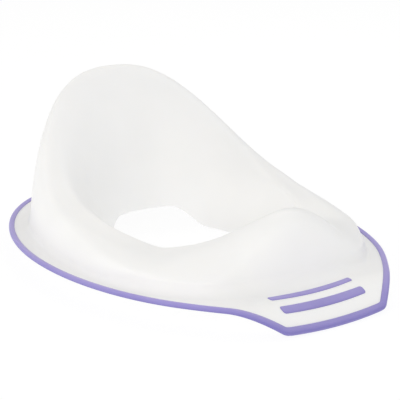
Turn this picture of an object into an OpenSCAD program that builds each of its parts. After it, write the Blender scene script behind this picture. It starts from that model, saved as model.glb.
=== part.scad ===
// Toddler seat insert for an adult toilet: a thin moulded shell with a high
// rounded backrest, low thigh rolls, a splash guard and a curled front tab,
// edged with a soft grip rim. Millimetres, +Z up, the tab at -Y, the backrest
// at +Y, symmetric about X = 0.

/* [Overall] */
// Half the width of the flange, without the soft rim
flange_a = 144.9; // [143:0.1:147]
// Reach of the flange behind the middle
flange_back = 210; // [206:1:213]
// Reach of the front ellipse of the flange
flange_front = 194.3; // [192:0.1:196]
// Wall thickness of the shell
wall = 2.6; // [2.4:0.1:3]

/* [Backrest and thigh rolls] */
// Height of the crest beside the opening, above the resting plane
side_h = 38; // [34:1:42]
// Rise of the crest from front to back, in mm for each mm
side_slope = 0.19; // [0.15:0.01:0.22]
// Extra rise towards the top of the backrest, in mm for each 10 mm squared
back_rise = 0.492; // [0.40:0.004:0.50]
// Dip of the crest halfway along each side
side_dip = 1.1; // [0:0.1:2]
// Half the distance between the two side crests
crest_a = 114; // [112:1:116]
// Distance from the middle back to the top of the backrest
crest_back = 142.4; // [140:0.2:146]

/* [Splash guard] */
// Distance from the middle forward to the top of the guard
crest_front = 132.8; // [131:0.2:134]
// Height of the guard above the front thigh rolls
guard_h = 50.2; // [44:0.2:52]
// Half the width over which the guard rises
guard_half = 96.3; // [94:0.1:100]
// How far the crest is drawn in at the guard's flanks
tuck = 7.3; // [4:0.1:8]

/* [Foot of the wall] */
// Radius of the blend between flange and wall
edge_r = 5; // [4:0.5:6]
// Radius of the wider blend under the guard
guard_r = 12; // [8:1:13]
// Height of the low step round the front corners
step_h = 9; // [7:0.5:10]
// How far the wall swells out above that step
step_bulge = 0; // [0:0.5:2]

/* [Opening] */
// Half the width of the opening
hole_a = 63; // [58:1:65]
// Reach of the opening to the back
hole_back = 87; // [82:1:90]
// Reach of the opening to the front
hole_front = 95; // [90:1:97]
// Depth of the skirt at the sides, below the resting plane
skirt_side = 10; // [8:1:12]
// Height of the skirt's edge at the back, above the resting plane
skirt_back = 9; // [6:1:10]

/* [Front tab] */
// Half the width of the tab's front edge
tab_half = 47.8; // [46:0.2:49]
// Distance from the middle to the tab's front corners
tab_corner = 195.2; // [194:0.2:196]
// How far the front edge bows out between its corners
tab_bow = 2.4; // [1:0.1:3]
// Where the tab starts to curl down, in front of the middle
curl_from = 163.4; // [162:0.2:166]
// How tightly the tab curls down
curl = 1.32; // [1.1:0.01:1.5]

/* [Soft rim and strips] */
// Width of the rim outside the flange
rim_w = 3.1; // [2.8:0.1:3.5]
// How far the rim laps the flange's top face
rim_lap = 1.9; // [1.4:0.1:2.2]
// How far the rim reaches in below the flange
rim_lip = 3.2; // [2.4:0.1:3.2]
// Extra width of the rim round the tab
tab_rim = 1; // [0:0.1:1.2]
// Half the length of the inner strip
thin_half = 40.8; // [38:0.2:42]
// Half the length of the outer strip
wide_half = 41; // [38:0.2:42]
// Width of the inner strip
thin_w = 6.4; // [5.6:0.2:7]
// Width of the outer strip
wide_w = 7.4; // [6.6:0.2:8]
// Height of the strips above the tab
strip_h = 0.8; // [0.5:0.1:1.2]

/* [Hidden] */

deck = 5;            // height of the flange's top face above the resting plane
wall_a = 130;        // half width at the foot of the outer wall
wall_back = 183;     // reach of the foot of the outer wall, back and front
wall_front = 157;
mid_y = 10;          // middle of the flange's ellipse

// ---- small helpers -------------------------------------------------------
function smooth(a, b, x) = let (u = min(1, max(0, (x - a) / (b - a)))) u * u * (3 - 2 * u);
function mix(a, b, k) = a + (b - a) * k;
function unit(v) = v / norm(v);
function cubic(p, q, r, s, u) = pow(1 - u, 3) * p + 3 * pow(1 - u, 2) * u * q + 3 * (1 - u) * u * u * r + pow(u, 3) * s;
function quad(p, q, r, u) = pow(1 - u, 2) * p + 2 * (1 - u) * u * q + u * u * r;
function quad_dir(p, q, r, u) = (1 - u) * (q - p) + u * (r - q);

// smooth curve through stations: xs rising, ys the values there, level at both ends
function slope_at(xs, ys, j) = j == 0 || j == len(xs) - 1 ? 0 : (ys[j + 1] - ys[j - 1]) / (xs[j + 1] - xs[j - 1]);
function cell_of(xs, x, j = 0) = j >= len(xs) - 2 || x < xs[j + 1] ? j : cell_of(xs, x, j + 1);
function through(xs, ys, x) =
    let (i = cell_of(xs, x), h = xs[i + 1] - xs[i], u = (x - xs[i]) / h,
         a = slope_at(xs, ys, i), b = slope_at(xs, ys, i + 1))
    (2 * u * u * u - 3 * u * u + 1) * ys[i] + (u * u * u - 2 * u * u + u) * h * a
    + (3 * u * u - 2 * u * u * u) * ys[i + 1] + (u * u * u - u * u) * h * b;

// rounded oval about the middle, as a radius at each bearing
function oval(th, a, b_back, b_front, n_back, n_front) =
    let (c = cos(th), s = sin(th), k = smooth(-0.5, 0.5, s), b = mix(b_front, b_back, k), n = mix(n_front, n_back, k))
    pow(pow(abs(c / a), n) + pow(abs(s / b), n), -1 / n);
function at(r, th, z) = [r * cos(th), r * sin(th), z];

// ---- the tab's curl ------------------------------------------------------
function drop(y) = -curl * pow(max(0, -curl_from - y), 2) / 100;
function drop_slope(y) = 2 * curl * max(0, -curl_from - y) / 100;
function deck_pt(x, y) = [x, y, deck + drop(y)];
function deck_up(y) = unit([0, -drop_slope(y), 1]);

// ---- plan of the flange: [x, y, outward x, outward y] --------------------
side_end = 45;       // bearing on the front ellipse where the tab's side begins
side_pull = 42.5;    // length of that side's first tangent
front_b = flange_front + mid_y;
back_b = flange_back - mid_y;
tab_p = [flange_a * cos(side_end), mid_y - front_b * sin(side_end)];
tab_q = tab_p + side_pull * unit([-flange_a * sin(side_end), -front_b * cos(side_end)]);
tab_e = [tab_half, -tab_corner];
tab_in = unit(tab_e - tab_q);                      // direction into the corner
tab_out = unit([-tab_half, -2 * tab_bow]);         // direction out of it
corner = 1.8;                                      // size of the rounded corner
function oval_pt(f, b) = let (x = flange_a * cos(f), y = b * sin(f), n = unit([cos(f) / flange_a, sin(f) / b])) [x, mid_y + y, n[0], n[1]];
function path_pt(p, d) = let (n = unit([-d[1], d[0]])) [p[0], p[1], n[0], n[1]];
half_plan = concat(
    [for (i = [0 : 14]) oval_pt(90 - 6 * i, back_b)],
    [for (i = [0 : 7]) oval_pt(-side_end * i / 7, front_b)],
    [for (i = [1 : 7]) path_pt(quad(tab_p, tab_q, tab_e - corner * tab_in, i / 7), quad_dir(tab_p, tab_q, tab_e - corner * tab_in, i / 7))],
    [for (i = [1 : 4]) path_pt(quad(tab_e - corner * tab_in, tab_e, tab_e + corner * tab_out, i / 4), quad_dir(tab_e - corner * tab_in, tab_e, tab_e + corner * tab_out, i / 4))],
    [for (i = [1 : 6]) let (x = mix(tab_e[0] + corner * tab_out[0], 0, i / 6), k = tab_e[1] + corner * tab_out[1], y = k - (tab_bow - corner * abs(tab_out[1])) * (1 - pow(x / tab_half, 2)))
        path_pt([x, y], [-1, -2 * tab_bow * x / pow(tab_half, 2)])]);
function flip(p) = [-p[0], p[1], -p[2], p[3]];
half_n = len(half_plan);
function facing(p) = p[2] * p[0] + p[3] * (p[1] - mid_y) < 0 ? [p[0], p[1], -p[2], -p[3]] : p;
plan = [for (i = [0 : 2 * half_n - 3]) facing(i < half_n ? half_plan[i] : flip(half_plan[2 * half_n - 2 - i]))];
N = len(plan);

// ---- leading curves of the shell at a bearing ----------------------------
function crest(th) =
    let (drawn = tuck * through([-1, -0.96, -0.88, -0.76, -0.6, 1], [0, 0.41, 0.79, 1, 0.38, 0], sin(th)),
         r = oval(th, crest_a, crest_back, crest_front, 2.45, 1.9) - drawn, x = r * cos(th), y = r * sin(th),
         body = side_h + side_slope * y + back_rise / 100 * pow(max(0, y - 20), 2),
         dip = side_dip * through([-1, -0.35, 0, 0.25, 1], [0, 0, 1, 0, 0], sin(th)),
         guard = y < 0 ? guard_h * pow(cos(90 * min(1, abs(x) / guard_half)), 2) : 0)
    [x, y, body - dip + guard];
function wall_line(th) = oval(th, wall_a, wall_back, wall_front, 2.15, 2.4);
function blend_r(s) = through([-1, -0.93, -0.78, 0, 1], [guard_r, guard_r - 1, edge_r, edge_r, edge_r], s);
function step_at(s) = smooth(-0.3, -0.72, s) * (1 - smooth(-0.86, -0.95, s));
// blend between flange (t = 0) and foot of the wall (t = 1): round, or a low step
function blend_pt(th, t) =
    let (s = sin(th), r = blend_r(s), p = [edge_r - r * sin(90 * t), r - r * cos(90 * t)],
         q = cubic([edge_r, 0], [1.8, 0], [0.2, 2], [-1.5, step_h], t), m = mix(p, q, step_at(s)))
    at(wall_line(th) + m[0], th, deck + m[1]);
function foot(th) = blend_pt(th, 1);
function lip(th) =
    let (p = at(oval(th, hole_a, hole_back, hole_front, 2.4, 2.4), th, 0), b = p[1] > 0 ? atan2(p[1], abs(p[0])) : 0)
    [p[0], p[1], mix(-skirt_side, skirt_back, smooth(46, 72, b))];

// ---- one section, from the flange's edge over the crest to the skirt -----
stations = [-1, -0.85, -0.45, 0, 1];        // sine of the bearing, front to back
roll_len = [16, 28, 34, 32, 14];            // length of the level part of the crest, inward
fall = [0.5, 0.9, 1.2, 1.2, 0.5];           // how far up the skirt's steep part pulls
lean = [0.25, 0.2, 0.8, 0.8, 0.2];          // how far that part leans out
shoulder_at = [-1, -0.93, -0.84, -0.73, -0.6, -0.45, -0.2, 0, 0.25, 0.6, 1];
shoulder = [0.95, 0.6, 0.3, 0.75, 1.1, 0.95, 0.6, 0.5, 0.75, 0.6, 0.25];  // how full the wall is below the crest
FL = 5; FR = 4; WO = 8; WI = 12;            // points on flange, fillet, outer wall, inner face
function section(i) =
    let (o = plan[i], th = atan2(o[1], o[0]), s = sin(th),
         c = crest(th), w = foot(th), h = lip(th),
         out = unit([w[0] - c[0], w[1] - c[1], 0]), gap = norm([w[0] - c[0], w[1] - c[1]]), rise = c[2] - w[2],
         inn = unit([h[0] - c[0], h[1] - c[1], 0]),
         up = through(stations, fall, s) * (c[2] - h[2]),
         w0 = wall_line(th) + edge_r, r0 = norm([o[0], o[1]]), dir = [cos(th), sin(th)],
         swell = step_bulge * step_at(s))
    concat(
        [for (j = [0 : FL]) let (p = mix(r0, w0, j / FL) * dir) deck_pt(p[0], p[1])],
        [for (j = [1 : FR - 1]) blend_pt(th, j / FR)],
        [for (j = [0 : WO - 1]) cubic(w, w + [0, 0, 0.45 * rise] - out * (0.036 * rise - swell), c + out * gap * through(shoulder_at, shoulder, s), c, j / WO)],
        [for (j = [0 : WI]) cubic(c, c + inn * through(stations, roll_len, s), h + [0, 0, up] - inn * through(stations, lean, s) * up, h, j / WI)]);
top_grid = [for (i = [0 : N - 1]) section(i)];
M = len(top_grid[0]);
function grid_up(i, j) =
    let (u = top_grid[(i + 1) % N][j] - top_grid[(i + N - 1) % N][j],
         v = top_grid[i][min(M - 1, j + 1)] - top_grid[i][max(0, j - 1)])
    unit(cross(v, u));
shell_rings = [for (i = [0 : N - 1]) concat(
    top_grid[i],
    [for (j = [M - 1 : -1 : 1]) top_grid[i][j] - wall * grid_up(i, j)],
    [top_grid[i][0] - wall * deck_up(plan[i][1])])];

// ---- soft rim: a bead that laps the flange's edge, above and below --------
rim_foot = 1.3;      // height of the rim's underside above the resting plane
rim_top = [[-1, 0.03], [-0.7, 0.8], [-0.15, 1.2], [0.24, 1.62], [0.56, 1.58], [0.84, 0.9]];
rim_side = [[0.97, 4.7], [1, 3.9], [0.97, 3.1], [0.74, 2.33], [0.25, 1.6]];
function rim_at(o, d, h) =
    d <= 0 ? let (x = o[0] + d * o[2], y = o[1] + d * o[3]) deck_pt(x, y) + (h - deck) * deck_up(y)
    : deck_pt(o[0], o[1]) + d * unit([o[2], o[3], drop_slope(o[1]) * o[3]]) + (h - deck) * deck_up(o[1]);
rim_rings = [for (o = plan) let (w = rim_w + tab_rim * smooth(-150, -186, o[1])) concat(
    [for (p = rim_top) rim_at(o, p[0] * (p[0] > 0 ? w : rim_lap), deck + p[1])],
    [for (p = rim_side) rim_at(o, p[0] * w, p[1])],
    [rim_at(o, 0, rim_foot), rim_at(o, -rim_lip, rim_foot), rim_at(o, -rim_lip, deck - wall), rim_at(o, 0, deck - wall), rim_at(o, 0, deck + 0.03)])];

// ---- placing: lowest point at z = 0, middle of the length at y = 0 -------
rim_zs = [for (r = rim_rings) for (p = r) p[2]];
rim_ys = [for (r = rim_rings) for (p = r) p[1]];
lift = -min(rim_zs);
shift = -(max(rim_ys) + min(rim_ys)) / 2;
module placed() { translate([0, shift, lift]) children(); }

// closed ring of loops joined into one skin; the loops run either way round
module band(rings, colour, turned = false) {
    n = len(rings); m = len(rings[0]);
    color(colour) polyhedron(
        points = [for (r = rings) for (p = r) p],
        faces = [for (i = [0 : n - 1]) for (j = [0 : m - 1])
            let (a = i * m + j, b = i * m + (j + 1) % m, c = ((i + 1) % n) * m + (j + 1) % m, d = ((i + 1) % n) * m + j)
            each (turned ? [[a, c, b], [a, d, c]] : [[a, b, c], [a, c, d]])],
        convexity = 8);
}

// strip that lies on the curled tab: bar with rounded corners, slightly bowed
module strip(half, width, y0, bow, round, colour) {
    cols = 24; rows = 4;
    function half_w(u) = width / 2 - round + round * sqrt(max(0.01, 1 - pow(max(0, abs(u) * half - half + round) / round, 2)));
    function mid(x) = y0 + bow * pow(x / half, 2);
    xs = [for (i = [0 : cols]) let (v = -1 + 2 * i / cols) sign(v) * (1 - pow(1 - abs(v), 1.6))];
    loops = [for (u = xs) let (x = u * half, w = half_w(u), y = mid(x)) concat(
        [for (j = [0 : rows]) let (k = 1 - 2 * j / rows, q = y + w * k) deck_pt(x, q) + 0.03 * (1 - k * k) * deck_up(q)],
        [for (j = [rows : -1 : 0]) let (k = 1 - 2 * j / rows, q = y + w * k) deck_pt(x, q) + strip_h * (1 - 0.45 * pow(k, 4)) * deck_up(q)])];
    n = len(loops); m = len(loops[0]);
    color(colour) polyhedron(
        points = [for (r = loops) for (p = r) p],
        faces = concat(
            [for (i = [0 : n - 2]) for (j = [0 : m - 1])
                let (a = i * m + j, b = i * m + (j + 1) % m, c = (i + 1) * m + (j + 1) % m, d = (i + 1) * m + j)
                each [[a, b, c], [a, c, d]]],
            [[for (j = [m - 1 : -1 : 0]) j]],
            [[for (j = [0 : m - 1]) (n - 1) * m + j]]),
        convexity = 4);
}

module seat_shell() { placed() band(shell_rings, [0.96, 0.96, 0.95], turned = true); }
module soft_rim() { placed() band(rim_rings, [0.56, 0.52, 0.80]); }
module thin_grip_strip() { placed() strip(thin_half, thin_w, -168, 4.1, 1.6, [0.56, 0.52, 0.80]); }
module wide_grip_strip() { placed() strip(wide_half, wide_w, -182.4, 2.25, 2.1, [0.56, 0.52, 0.80]); }

seat_shell();
soft_rim();
thin_grip_strip();
wide_grip_strip();
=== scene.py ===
import math

import bmesh
import bpy
import numpy as np
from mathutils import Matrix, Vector


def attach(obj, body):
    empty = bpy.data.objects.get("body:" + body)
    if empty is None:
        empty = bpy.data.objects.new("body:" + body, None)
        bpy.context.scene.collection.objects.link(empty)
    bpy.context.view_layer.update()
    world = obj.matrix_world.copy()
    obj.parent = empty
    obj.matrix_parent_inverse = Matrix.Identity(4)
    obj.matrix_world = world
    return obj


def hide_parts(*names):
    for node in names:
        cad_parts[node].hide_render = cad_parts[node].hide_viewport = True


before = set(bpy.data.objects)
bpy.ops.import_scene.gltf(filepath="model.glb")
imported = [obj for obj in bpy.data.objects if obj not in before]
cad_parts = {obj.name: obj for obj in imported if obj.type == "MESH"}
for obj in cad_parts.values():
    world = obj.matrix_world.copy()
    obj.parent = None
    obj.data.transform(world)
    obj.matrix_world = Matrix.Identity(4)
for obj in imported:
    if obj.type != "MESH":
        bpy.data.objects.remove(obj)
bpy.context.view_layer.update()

# ---------------------------------------------------------------------------
# Dimensions in millimetres, the same ones that drive the CAD part.
# ---------------------------------------------------------------------------
FLANGE_A, FLANGE_BACK, FLANGE_FRONT, WALL = 144.9, 210.0, 194.3, 2.6
SIDE_H, SIDE_SLOPE, BACK_RISE, SIDE_DIP = 38.0, 0.19, 0.492, 1.1
CREST_A, CREST_BACK, CREST_FRONT = 114.0, 142.4, 132.8
GUARD_H, GUARD_HALF = 50.2, 96.3
HOLE_A, HOLE_BACK, HOLE_FRONT = 63.0, 87.0, 95.0
SKIRT_SIDE, SKIRT_BACK = 10.0, 9.0
TAB_HALF, TAB_CORNER, TAB_BOW, CURL_FROM, CURL = 47.8, 195.2, 2.4, 163.4, 1.32
RIM_W, RIM_LAP, RIM_LIP, RIM_FOOT, TAB_RIM = 3.1, 1.9, 3.2, 1.3, 1.0
DECK = 5.0
WALL_A, WALL_BACK, WALL_FRONT = 130.0, 183.0, 157.0
EDGE_R, STEP_H, STEP_BULGE = 5.0, 9.0, 0.0
MID_Y = 10.0


def smooth(a, b, x):
    u = np.clip((x - a) / (b - a), 0.0, 1.0)
    return u * u * (3 - 2 * u)


def mix(a, b, k):
    return a + (b - a) * k


def unit(v):
    v = np.asarray(v, float)
    return v / np.maximum(1e-12, np.linalg.norm(v, axis=-1, keepdims=True))


def through(xs, ys, x):
    """Smooth curve through stations, level at both ends."""
    xs, ys, x = np.asarray(xs, float), np.asarray(ys, float), np.asarray(x, float)
    sl = np.zeros(len(xs))
    sl[1:-1] = (ys[2:] - ys[:-2]) / (xs[2:] - xs[:-2])
    i = np.clip(np.searchsorted(xs, x, side="right") - 1, 0, len(xs) - 2)
    h = xs[i + 1] - xs[i]
    u = (x - xs[i]) / h
    return ((2 * u**3 - 3 * u**2 + 1) * ys[i] + (u**3 - 2 * u**2 + u) * h * sl[i]
            + (3 * u**2 - 2 * u**3) * ys[i + 1] + (u**3 - u**2) * h * sl[i + 1])


def oval(th, a, b_back, b_front, n_back, n_front):
    """Rounded oval about the middle: its radius at each bearing."""
    c, s = np.cos(th), np.sin(th)
    k = smooth(-0.5, 0.5, s)
    b, n = mix(b_front, b_back, k), mix(n_front, n_back, k)
    return (np.abs(c / a) ** n + np.abs(s / b) ** n) ** (-1 / n)


def drop(y):
    return -CURL * np.maximum(0, -CURL_FROM - y) ** 2 / 100


def drop_slope(y):
    return 2 * CURL * np.maximum(0, -CURL_FROM - y) / 100


def deck_pt(x, y):
    return np.stack([x, y, DECK + drop(y)], -1)


def deck_up(y):
    z = np.zeros_like(y)
    return unit(np.stack([z, -drop_slope(y), z + 1], -1))


# ---------------------------------------------------------------------------
# Plan of the flange: position and outward normal all the way round.
# ---------------------------------------------------------------------------
def plan_curve(nb=64, nf=30, ns=34, nc=10, ne=26):
    front_b, back_b = FLANGE_FRONT + MID_Y, FLANGE_BACK - MID_Y
    side_end = math.radians(45)
    tab_p = np.array([FLANGE_A * math.cos(side_end), MID_Y - front_b * math.sin(side_end)])
    t0 = unit([-FLANGE_A * math.sin(side_end), -front_b * math.cos(side_end)])
    tab_q = tab_p + 42.5 * t0
    tab_e = np.array([TAB_HALF, -TAB_CORNER])
    t_in, t_out = unit(tab_e - tab_q), unit([-TAB_HALF, -2 * TAB_BOW])
    corner = 1.8
    pts, nrm = [], []

    def oval_pt(f, b):
        pts.append([FLANGE_A * math.cos(f), MID_Y + b * math.sin(f)])
        nrm.append(unit([math.cos(f) / FLANGE_A, math.sin(f) / b]))

    def quad_pt(p, q, r, u):
        pts.append((1 - u) ** 2 * p + 2 * (1 - u) * u * q + u * u * r)
        d = (1 - u) * (q - p) + u * (r - q)
        nrm.append(unit([-d[1], d[0]]))

    for i in range(nb + 1):
        oval_pt(math.radians(90 * (1 - i / nb)), back_b)
    for i in range(1, nf + 1):
        oval_pt(-side_end * i / nf, front_b)
    e1, e2 = tab_e - corner * t_in, tab_e + corner * t_out
    for i in range(1, ns + 1):
        quad_pt(tab_p, tab_q, e1, i / ns)
    for i in range(1, nc + 1):
        quad_pt(e1, tab_e, e2, i / nc)
    for i in range(1, ne + 1):
        x = e2[0] * (1 - i / ne)
        y = e2[1] - (TAB_BOW - corner * abs(t_out[1])) * (1 - (x / TAB_HALF) ** 2)
        pts.append([x, y])
        nrm.append(unit([2 * TAB_BOW * x / TAB_HALF**2 * 1.0, -1.0]))
    p, n = np.array(pts, float), np.array(nrm, float)
    flip = (n[:, 0] * p[:, 0] + n[:, 1] * (p[:, 1] - MID_Y)) < 0
    n[flip] *= -1
    q, m = p[-2:0:-1] * [-1, 1], n[-2:0:-1] * [-1, 1]
    return np.vstack([p, q]), np.vstack([n, m])


PLAN, NORMAL = plan_curve()
TH = np.arctan2(PLAN[:, 1], PLAN[:, 0])
S = np.sin(TH)

STATIONS = [-1, -0.85, -0.45, 0, 1]
ROLL_LEN = [16, 28, 34, 32, 14]
FALL = [0.5, 0.9, 1.2, 1.2, 0.5]
LEAN = [0.25, 0.2, 0.8, 0.8, 0.2]
SHOULDER_AT = [-1, -0.93, -0.84, -0.73, -0.6, -0.45, -0.2, 0, 0.25, 0.6, 1]
SHOULDER = [0.95, 0.6, 0.3, 0.75, 1.1, 0.95, 0.6, 0.5, 0.75, 0.6, 0.25]


def at(r, th, z):
    return np.stack([r * np.cos(th), r * np.sin(th), np.broadcast_to(z, r.shape)], -1)


TUCK_AT, TUCK = [-1, -0.96, -0.88, -0.76, -0.6, 1], [0, 3.0, 5.8, 7.3, 2.8, 0]


def crest(th):
    r = oval(th, CREST_A, CREST_BACK, CREST_FRONT, 2.45, 1.9) - through(TUCK_AT, TUCK, np.sin(th))
    x, y = r * np.cos(th), r * np.sin(th)
    body = SIDE_H + SIDE_SLOPE * y + BACK_RISE / 100 * np.maximum(0, y - 20) ** 2
    body = body - SIDE_DIP * through([-1, -0.35, 0, 0.25, 1], [0, 0, 1, 0, 0], np.sin(th))
    guard = np.where(y < 0, GUARD_H * np.cos(np.pi / 2 * np.minimum(1, np.abs(x) / GUARD_HALF)) ** 2, 0)
    return np.stack([x, y, body + guard], -1)


def fillet_r(s):
    """Radius of the blend between flange and wall: wide under the guard."""
    return through([-1, -0.93, -0.78, 0, 1], [12, 11, 5, 5, 5], s)


def step(s):
    """How far the low step round the front corners is formed, 0 to 1."""
    return smooth(-0.3, -0.72, s) * (1 - smooth(-0.86, -0.95, s))


def wall_line(th):
    return oval(th, WALL_A, WALL_BACK, WALL_FRONT, 2.15, 2.4)


def blend_pt(th, t):
    """Point of the blend, t = 0 on the flange and 1 at the foot of the wall."""
    s = np.sin(th)
    fr, k, r = fillet_r(s), step(s), wall_line(th)
    a = math.pi / 2 * t
    round_r, round_z = EDGE_R - fr * math.sin(a), fr - fr * math.cos(a)
    b = ((1 - t) ** 3, 3 * t * (1 - t) ** 2, 3 * t * t * (1 - t), t**3)
    step_r = b[0] * EDGE_R + b[1] * 1.8 + b[2] * 0.2 - b[3] * 1.5
    step_z = b[2] * 2.0 + b[3] * STEP_H
    return at(r + mix(round_r, step_r, k), th, DECK + mix(round_z, step_z, k))


def foot(th):
    return blend_pt(th, 1.0)


def lip(th):
    p = at(oval(th, HOLE_A, HOLE_BACK, HOLE_FRONT, 2.4, 2.4), th, 0.0)
    b = np.where(p[:, 1] > 0, np.degrees(np.arctan2(p[:, 1], np.abs(p[:, 0]))), 0)
    p[:, 2] = mix(-SKIRT_SIDE, SKIRT_BACK, smooth(46, 72, b))
    return p


def cubic(p, q, r, s, u):
    u = np.asarray(u)[None, :, None]
    p, q, r, s = (v[:, None, :] for v in (p, q, r, s))
    return (1 - u) ** 3 * p + 3 * (1 - u) ** 2 * u * q + 3 * (1 - u) * u * u * r + u**3 * s


WALL_U = np.concatenate([[0, 0.006, 0.02], np.linspace(0.045, 1, 36)[:-1]])


def top_surface(fl=16, fr=(0.1, 0.2, 0.3, 0.4, 0.5, 0.6, 0.7, 0.8, 0.9, 0.965, 0.99), wo=WALL_U, wi=64):
    th = TH
    c, w, h = crest(th), foot(th), lip(th)
    flat = np.array([1.0, 1.0, 0.0])
    out = unit((w - c) * flat)
    gap = np.linalg.norm((w - c) * flat, axis=1)[:, None]
    inn = unit((h - c) * flat)
    rise = (c[:, 2] - w[:, 2])[:, None]
    up = (through(STATIONS, FALL, S) * (c[:, 2] - h[:, 2]))[:, None]
    roll = through(STATIONS, ROLL_LEN, S)[:, None]
    ln = through(STATIONS, LEAN, S)[:, None]
    sh = through(SHOULDER_AT, SHOULDER, S)[:, None]
    z = np.array([0, 0, 1.0])
    d = np.stack([np.cos(th), np.sin(th)], -1)
    w0, r0 = wall_line(th) + EDGE_R, np.linalg.norm(PLAN, axis=1)
    cols = []
    for j in range(fl + 1):
        p = mix(r0, w0, j / fl)[:, None] * d
        cols.append(deck_pt(p[:, 0], p[:, 1]))
    for t in fr:
        cols.append(blend_pt(th, t))
    grid = np.stack(cols, 1)
    swell = STEP_BULGE * step(S)[:, None]
    outer = cubic(w, w + z * 0.45 * rise - out * (0.036 * rise - swell), c + out * gap * sh, c, wo)
    inner = cubic(c, c + inn * roll, h + z * up - inn * ln * up, h, np.arange(wi + 1) / wi)
    return np.concatenate([grid, outer, inner], 1)


def normals(g):
    u = np.roll(g, -1, 0) - np.roll(g, 1, 0)
    v = np.empty_like(g)
    v[:, 1:-1] = g[:, 2:] - g[:, :-2]
    v[:, 0], v[:, -1] = g[:, 1] - g[:, 0], g[:, -1] - g[:, -2]
    return unit(np.cross(v, u))


# ---------------------------------------------------------------------------
# Meshes
# ---------------------------------------------------------------------------
def placed(p):
    return (np.asarray(p, float) + [0, SHIFT, LIFT]) / 1000.0


def make(name, rings, closed=True, caps=False):
    """Closed skin over rings of points, one ring a section."""
    n, m = rings.shape[:2]
    bm = bmesh.new()
    vs = [bm.verts.new(p) for p in placed(rings.reshape(-1, 3))]
    for i in range(n if closed else n - 1):
        for j in range(m):
            a, b = i * m + j, i * m + (j + 1) % m
            c, d = ((i + 1) % n) * m + (j + 1) % m, ((i + 1) % n) * m + j
            bm.faces.new((vs[a], vs[b], vs[c], vs[d]))
    if caps:
        bm.faces.new([vs[j] for j in range(m)][::-1])
        bm.faces.new([vs[(n - 1) * m + j] for j in range(m)])
    bmesh.ops.recalc_face_normals(bm, faces=bm.faces)
    if bm.calc_volume(signed=True) < 0:
        bmesh.ops.reverse_faces(bm, faces=bm.faces)
    me = bpy.data.meshes.new(name)
    bm.to_mesh(me)
    bm.free()
    me.shade_smooth()
    ob = bpy.data.objects.new(name, me)
    bpy.context.scene.collection.objects.link(ob)
    return ob


# soft rim: a rounded bead that laps the flange's edge, above and below
RIM_TOP = [[-1.0, 0.03], [-0.95, 0.36], [-0.7, 0.80], [-0.15, 1.20], [0.45 / 3.1, 1.50], [1.05 / 3.1, 1.65],
           [1.65 / 3.1, 1.60], [2.15 / 3.1, 1.36], [2.6 / 3.1, 0.90], [2.9 / 3.1, 0.25]]
RIM_SIDE = [[0.985, 4.5], [1.0, 3.8], [0.965, 3.1], [0.88, 2.65], [0.74, 2.33], [0.48, 1.93], [0.13, 1.45]]


def rim_point(dist, h):
    """Point at a distance outside the flange's edge and a height above its resting plane."""
    y = PLAN[:, 1]
    if np.ndim(dist):
        dist = dist[:, None]
    elif dist <= 0:
        q = PLAN + dist * NORMAL
        return deck_pt(q[:, 0], q[:, 1]) + (h - DECK) * deck_up(q[:, 1])
    side = unit(np.stack([NORMAL[:, 0], NORMAL[:, 1], drop_slope(y) * NORMAL[:, 1]], -1))
    return deck_pt(PLAN[:, 0], y) + dist * side + (h - DECK) * deck_up(y)


def rim_rings():
    wide = RIM_W + TAB_RIM * smooth(-150, -186, PLAN[:, 1])
    pts = [rim_point(d * (wide if d > 0 else RIM_LAP), DECK + h) for d, h in RIM_TOP]
    pts += [rim_point(d * wide, h) for d, h in RIM_SIDE]
    pts += [rim_point(-RIM_LIP * f, RIM_FOOT) for f in (0.0, 0.25, 0.5, 0.75, 0.95)]
    pts += [rim_point(-RIM_LIP, h) for h in (RIM_FOOT + 0.2, DECK - WALL - 0.2)]
    pts += [rim_point(-RIM_LIP * f, DECK - WALL) for f in (0.95, 0.75, 0.5, 0.25, 0.0)]
    pts += [rim_point(0.0, h) for h in (3.0, 4.0, DECK + 0.03)]
    pts += [rim_point(-RIM_LAP * f, DECK + 0.03) for f in (0.35, 0.7)]
    return np.stack(pts, 1)


RIM = rim_rings()
LIFT = -RIM[:, :, 2].min()
SHIFT = -(RIM[:, :, 1].max() + RIM[:, :, 1].min()) / 2


def shell_rings():
    top = top_surface()
    nrm = normals(top)
    under = top - WALL * nrm
    under[:, 0] = top[:, 0] - WALL * deck_up(PLAN[:, 1])
    # full radius round the skirt's free edge
    down = unit(top[:, -1] - top[:, -2])
    mid = (top[:, -1] + under[:, -1]) / 2
    edge = [mid + WALL / 2 * (math.cos(a) * nrm[:, -1] + 0.8 * math.sin(a) * down)
            for a in np.radians([22.5, 45, 67.5, 90, 112.5, 135, 157.5])]
    return np.concatenate([top, np.stack(edge, 1), under[:, ::-1]], 1)


shell = make("shell_body", shell_rings())
rim = make("rim_body", RIM)


def strip(name, half, width, y0, bow, height, r):
    """Raised grip strip on the curled tab: rounded ends, crowned top."""
    us = np.concatenate([np.sin(np.linspace(-90, 90, 49) * math.pi / 180)])
    rows = np.linspace(-1, 1, 15)
    loops = []
    for u in us:
        x = u * half
        over = max(0.0, abs(x) - (half - r))
        w = width / 2 - r + math.sqrt(max(0.0, r * r - over * over))
        w = max(w, width / 2 - r + 0.05 * r)
        y = y0 + bow * (x / half) ** 2 + w * rows
        xs = np.full(len(rows), x)
        end = math.sqrt(max(0.0, 1 - (max(0.0, abs(x) - (half - 0.8)) / 0.8) ** 2)) * 0.85 + 0.15
        crown = height * end * (1 - np.abs(rows) ** 5 * 0.75)
        top = deck_pt(xs, y) + crown[:, None] * deck_up(y)
        low = deck_pt(xs, y) - 0.15 * deck_up(y)
        loops.append(np.concatenate([top, low[::-1]]))
    return make(name, np.stack(loops), closed=False, caps=True)


thin = strip("thin_strip", 40.8, 6.4, -168.0, 4.1, 0.8, 1.6)
wide = strip("wide_strip", 41.0, 7.4, -182.4, 2.25, 0.8, 2.1)

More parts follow.
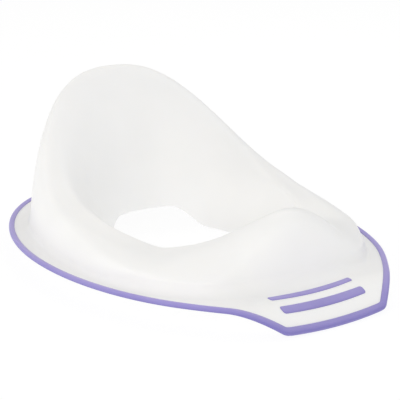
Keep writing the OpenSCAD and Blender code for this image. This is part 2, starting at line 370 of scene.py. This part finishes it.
PIECES = {shell: "seat_shell", rim: "soft_rim", thin: "thin_grip_strip", wide: "wide_grip_strip"}
for ob, node in PIECES.items():
    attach(ob, "root")
    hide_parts(node)


# ---------------------------------------------------------------------------
# Materials
# ---------------------------------------------------------------------------
def node_material(name, base):
    m = bpy.data.materials.new(name)
    m.use_nodes = True
    nt = m.node_tree
    nt.nodes.clear()
    out = nt.nodes.new("ShaderNodeOutputMaterial")
    sh = nt.nodes.new("ShaderNodeBsdfPrincipled")
    nt.links.new(sh.outputs[0], out.inputs[0])
    sh.inputs["Base Color"].default_value = (*base, 1)
    return m, nt, sh


def noise(nt, vec, scale, detail=3.0, rough=0.5):
    n = nt.nodes.new("ShaderNodeTexNoise")
    n.inputs["Scale"].default_value = scale
    n.inputs["Detail"].default_value = detail
    n.inputs["Roughness"].default_value = rough
    nt.links.new(vec, n.inputs["Vector"])
    return n.outputs["Fac"]


def ramp(nt, fac, stops):
    r = nt.nodes.new("ShaderNodeValToRGB")
    while len(r.color_ramp.elements) < len(stops):
        r.color_ramp.elements.new(0.5)
    for e, (p, c) in zip(r.color_ramp.elements, stops):
        e.position, e.color = p, (*c, 1)
    nt.links.new(fac, r.inputs[0])
    return r.outputs[0]


def map_range(nt, fac, a, b, lo, hi):
    m = nt.nodes.new("ShaderNodeMapRange")
    for i, v in zip((1, 2, 3, 4), (a, b, lo, hi)):
        m.inputs[i].default_value = v
    nt.links.new(fac, m.inputs[0])
    return m.outputs[0]


def plus(nt, a, b):
    m = nt.nodes.new("ShaderNodeMath")
    nt.links.new(a, m.inputs[0])
    nt.links.new(b, m.inputs[1])
    return m.outputs[0]


def bump(nt, height, strength, dist, before=None):
    b = nt.nodes.new("ShaderNodeBump")
    b.inputs["Strength"].default_value = strength
    b.inputs["Distance"].default_value = dist
    nt.links.new(height, b.inputs["Height"])
    if before is not None:
        nt.links.new(before, b.inputs["Normal"])
    return b.outputs[0]


def shell_material():
    m, nt, sh = node_material("shell_white", (0.9, 0.9, 0.885))
    co = nt.nodes.new("ShaderNodeTexCoord").outputs["Object"]
    tone = ramp(nt, noise(nt, co, 14, 3), [(0.3, (0.886, 0.886, 0.881)), (0.7, (0.914, 0.914, 0.909))])
    nt.links.new(tone, sh.inputs["Base Color"])
    nt.links.new(map_range(nt, noise(nt, co, 90, 3), 0.3, 0.7, 0.36, 0.46), sh.inputs["Roughness"])
    wave = bump(nt, noise(nt, co, 38, 2), 0.25, 0.00025)
    fine = bump(nt, noise(nt, co, 2600, 4, 0.6), 0.12, 0.00008, wave)
    nt.links.new(fine, sh.inputs["Normal"])
    sh.inputs["IOR"].default_value = 1.49
    sh.inputs["Subsurface Weight"].default_value = 0.12
    sh.inputs["Subsurface Radius"].default_value = (0.004, 0.0038, 0.0034)
    sh.inputs["Subsurface Scale"].default_value = 1.0
    return m


def soft_material():
    m, nt, sh = node_material("soft_lavender", (0.36, 0.3, 0.62))
    co = nt.nodes.new("ShaderNodeTexCoord").outputs["Object"]
    # painted light and shade: paler where it faces up, painted shade towards the underside and on the tab, and a
    # little random mottling of the tone
    way, spot = nt.nodes.new("ShaderNodeSeparateXYZ"), nt.nodes.new("ShaderNodeSeparateXYZ")
    nt.links.new(nt.nodes.new("ShaderNodeTexCoord").outputs["Normal"], way.inputs[0])
    nt.links.new(co, spot.inputs[0])
    # painted shade: darker as the surface normal turns down
    side = map_range(nt, way.outputs[2], -0.5, 1.0, 0.06, 0.94)
    # painted shade: darker towards the front of the tab
    tab = map_range(nt, spot.outputs[1], -0.205, -0.155, -0.4, 0.0)
    mottle = map_range(nt, noise(nt, co, 30, 3), 0.3, 0.7, -0.06, 0.06)
    tone = ramp(nt, plus(nt, plus(nt, side, tab), mottle),
                [(0.05, (0.205, 0.180, 0.485)), (0.38, (0.266, 0.233, 0.563)), (0.95, (0.385, 0.335, 0.685))])
    nt.links.new(tone, sh.inputs["Base Color"])
    nt.links.new(map_range(nt, noise(nt, co, 160, 3), 0.3, 0.7, 0.52, 0.66), sh.inputs["Roughness"])
    fine = bump(nt, noise(nt, co, 3200, 4, 0.65), 0.25, 0.0001)
    nt.links.new(fine, sh.inputs["Normal"])
    sh.inputs["IOR"].default_value = 1.48
    sh.inputs["Subsurface Weight"].default_value = 0.08
    sh.inputs["Subsurface Radius"].default_value = (0.002, 0.0015, 0.003)
    sh.inputs["Subsurface Scale"].default_value = 1.0
    sh.inputs["Sheen Weight"].default_value = 0.15
    sh.inputs["Sheen Roughness"].default_value = 0.5
    return m


WHITE, SOFT = shell_material(), soft_material()
for ob, node in PIECES.items():
    ob.data.materials.clear()
    ob.data.materials.append(WHITE if node == "seat_shell" else SOFT)


# ---------------------------------------------------------------------------
# Floor, light, camera
# ---------------------------------------------------------------------------
def make_floor():
    bm = bmesh.new()
    bmesh.ops.create_grid(bm, x_segments=8, y_segments=8, size=40)
    me = bpy.data.meshes.new("floor")
    bm.to_mesh(me)
    bm.free()
    ob = bpy.data.objects.new("floor", me)
    bpy.context.scene.collection.objects.link(ob)
    m, nt, sh = node_material("floor_pale", (0.12, 0.12, 0.12))
    sh.inputs["Roughness"].default_value = 1.0
    sh.inputs["Specular IOR Level"].default_value = 0.0
    sh.inputs["Emission Color"].default_value = (1, 1, 1, 1)
    sh.inputs["Emission Strength"].default_value = 0.9
    ob.data.materials.append(m)
    return ob


make_floor()

scene = bpy.context.scene
scene.view_settings.view_transform = "Standard"
scene.view_settings.look = "None"

world = bpy.data.worlds.new("studio")
scene.world = world
world.use_nodes = True
world.node_tree.nodes["Background"].inputs[0].default_value = (0.975, 0.98, 1.0, 1)
world.node_tree.nodes["Background"].inputs[1].default_value = 0.66


def area(name, loc, target, size, power, colour=(1, 1, 1)):
    d = bpy.data.lights.new(name, "AREA")
    d.shape, d.size, d.size_y = "RECTANGLE", size[0], size[1]
    d.energy, d.color = power, colour
    ob = bpy.data.objects.new(name, d)
    bpy.context.scene.collection.objects.link(ob)
    ob.location = loc
    ob.rotation_euler = (Vector(target) - Vector(loc)).to_track_quat("-Z", "Y").to_euler()
    return ob


def soft_box(name, azimuth, elevation, distance, size, power, colour=(1, 1, 1)):
    """Area light by bearing from the front (0), left (-90) or right (90), and height in degrees."""
    a, e = math.radians(azimuth), math.radians(elevation)
    loc = (math.sin(a) * math.cos(e) * distance, -math.cos(a) * math.cos(e) * distance, math.sin(e) * distance + 0.05)
    return area(name, loc, (0, 0, 0.05), (size, size), power, colour)


soft_box("rear_left", -120, 22, 2.0, 1.2, 4.7, (0.985, 1.0, 0.95))
soft_box("key", -80, 22, 2.0, 1.2, 4.5, (1.0, 0.88, 0.70))
soft_box("front_left", -40, 22, 2.0, 1.2, 5.2, (0.94, 0.96, 1.0))
soft_box("front", 0, 22, 2.0, 1.2, 3.7, (1.0, 0.93, 0.76))
soft_box("side", 90, 52, 2.0, 1.2, 3.8, (0.93, 0.97, 1.0))
soft_box("rear", 140, 52, 2.0, 1.2, 3.7, (1.0, 0.91, 0.72))

cam_d = bpy.data.cameras.new("camera")
cam = bpy.data.objects.new("camera", cam_d)
scene.collection.objects.link(cam)
cam_d.sensor_width, cam_d.lens = 36.0, 108.0
cam_d.clip_start, cam_d.clip_end = 0.05, 120
az, el, dist = math.radians(-34.15), math.radians(16.20), 1.20205
target = Vector((0.078375, 0.106285 + SHIFT / 1000, LIFT / 1000))
back = Vector((math.sin(az) * math.cos(el), -math.cos(az) * math.cos(el), math.sin(el)))
cam.location = target + dist * back
cam.rotation_euler = back.to_track_quat("Z", "Y").to_euler()
scene.camera = cam
